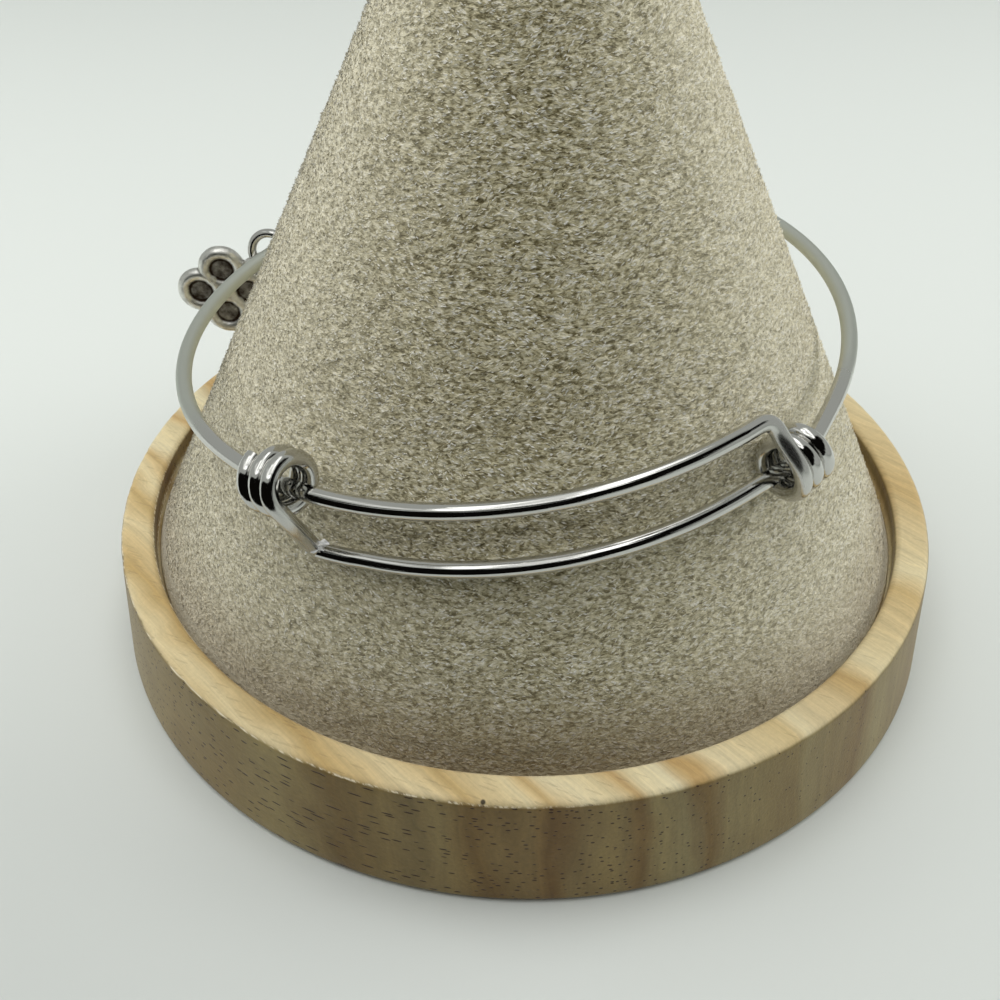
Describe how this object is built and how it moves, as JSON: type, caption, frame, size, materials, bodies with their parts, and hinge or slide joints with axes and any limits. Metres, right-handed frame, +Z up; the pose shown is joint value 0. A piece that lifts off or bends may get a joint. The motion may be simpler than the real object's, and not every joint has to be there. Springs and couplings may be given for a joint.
{
  "type": "charm bangle on a cone display stand",
  "caption": "Expandable steel wire bangle with sliding coils and a cast flower charm, resting on a cloth-covered cone that stands in a turned wooden base.",
  "frame": {"origin": "centre of the stand's round underside", "axes": "+Z up along the cone, -Y towards the viewer and the bangle's two front strands, +X to the viewer's right"},
  "size_m": [0.087, 0.087, 0.083],
  "materials": {
    "turned_wood": "turned pale hardwood, fine sanded, unvarnished",
    "napped_suede": "beige microfibre suede with a short rubbed nap",
    "polished_steel": "polished stainless wire",
    "steel_link": "polished stainless link",
    "cast_silver_tone": "cast silver-toned alloy, darkened in the hollows"
  },
  "bodies": {
    "root": {"wooden_base": "turned_wood", "fabric_cone": "napped_suede", "bangle_wire": "polished_steel", "jump_ring": "steel_link", "charm": "cast_silver_tone"}
  },
  "joints": []
}
